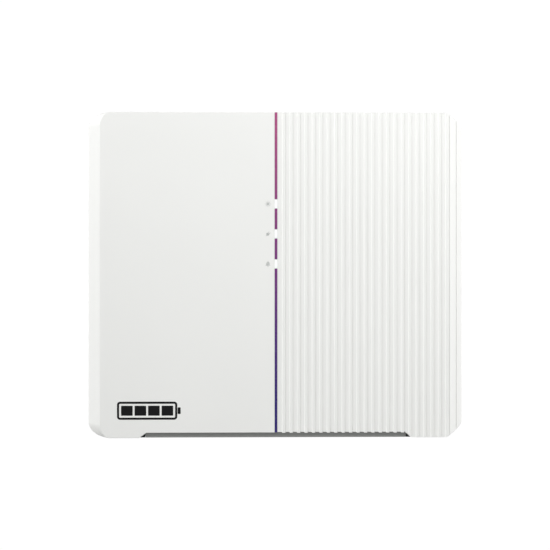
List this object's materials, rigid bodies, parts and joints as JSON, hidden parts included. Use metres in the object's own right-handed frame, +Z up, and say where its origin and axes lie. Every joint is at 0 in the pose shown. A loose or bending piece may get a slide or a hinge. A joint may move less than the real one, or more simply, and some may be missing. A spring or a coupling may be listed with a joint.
{
  "type": "wall battery unit",
  "caption": "Wall-hung home battery box: a two-part bevelled front cover, half smooth and half fluted, a thin upright light bar between, and a recessed connection bay underneath.",
  "frame": {"origin": "the middle of the wall rail's back face, in the plane of the wall", "axes": "+X to the right seen from the front, +Y into the wall, +Z up"},
  "size_m": [0.5, 0.17, 0.434],
  "materials": {
    "cover_white": "fine satin moulded finish",
    "light_magenta": "translucent light bar, lit",
    "light_plum": "translucent light bar, lit",
    "light_purple": "translucent light bar, lit",
    "light_indigo": "translucent light bar, lit",
    "window_white": "opal indicator window",
    "diffuser": "opal diffuser",
    "circuit_board": "solder mask",
    "housing_grey": "fine texture powder coat",
    "trim_grey": "fine texture powder coat",
    "panel_grey": "smooth powder coat",
    "seal_rubber": "matt",
    "orange_plastic": "satin",
    "black_plastic": "satin",
    "breaker_white": "satin",
    "button_grey": "satin",
    "aluminium": "brushed",
    "zinc_steel": "zinc plated",
    "brass": "satin",
    "copper": "tin-free copper",
    "cell_wrap": "blue insulating film",
    "fuse_ceramic": "glazed"
  },
  "bodies": {
    "unit": {"left_front_panel": "cover_white", "right_front_panel": "cover_white", "light_strip_1": "light_magenta", "light_strip_2": "light_plum", "light_strip_3": "light_purple", "light_strip_4": "light_indigo", "solar_window": "window_white", "grid_window": "window_white", "alarm_window": "window_white", "light_guide": "diffuser", "led_board": "circuit_board", "rear_housing": "housing_grey", "housing_lid": "housing_grey", "bottom_frame": "trim_grey", "bottom_seal": "seal_rubber", "lid_gasket": "seal_rubber", "connection_panel": "panel_grey", "positive_socket": "orange_plastic", "negative_socket": "black_plastic", "breaker_body": "breaker_white", "power_button_bezel": "aluminium", "comm_port_1": "black_plastic", "comm_port_2": "black_plastic", "comm_port_3": "black_plastic", "ground_stud": "brass", "ground_nut": "zinc_steel", "vent_valve": "black_plastic", "end_plate_left": "aluminium", "end_plate_right": "aluminium", "cell_tray": "black_plastic", "busbar_board": "copper", "bms_board": "circuit_board", "main_fuse": "fuse_ceramic", "positive_strap": "copper", "positive_cable": "orange_plastic", "negative_cable": "black_plastic", "wall_rail": "zinc_steel", "hanger_rail": "zinc_steel", "lower_bracket_left": "zinc_steel", "lower_bracket_right": "zinc_steel", "lock_screw_left": "zinc_steel", "lock_screw_right": "zinc_steel", "cell_01": "cell_wrap", "cell_02": "cell_wrap", "cell_03": "cell_wrap", "cell_04": "cell_wrap", "cell_05": "cell_wrap", "cell_06": "cell_wrap", "cell_07": "cell_wrap", "cell_08": "cell_wrap", "cell_09": "cell_wrap", "cell_10": "cell_wrap", "cell_11": "cell_wrap", "cell_12": "cell_wrap", "cell_13": "cell_wrap", "cell_14": "cell_wrap", "cell_15": "cell_wrap", "cell_16": "cell_wrap"},
    "breaker_lever": {"breaker_lever": "black_plastic"},
    "power_button": {"power_button": "button_grey"}
  },
  "joints": [
    {"name": "breaker_tip", "type": "hinge", "parent": "unit", "child": "breaker_lever", "pos_m": [-0.015, -0.081, -0.316], "axis": [-1, 0, 0], "range_deg": [0, 76]},
    {"name": "button_press", "type": "slide", "parent": "unit", "child": "power_button", "axis": [0, 0, 1], "range_m": [0, 0.0025], "stiffness_N_per_m": 800}
  ]
}
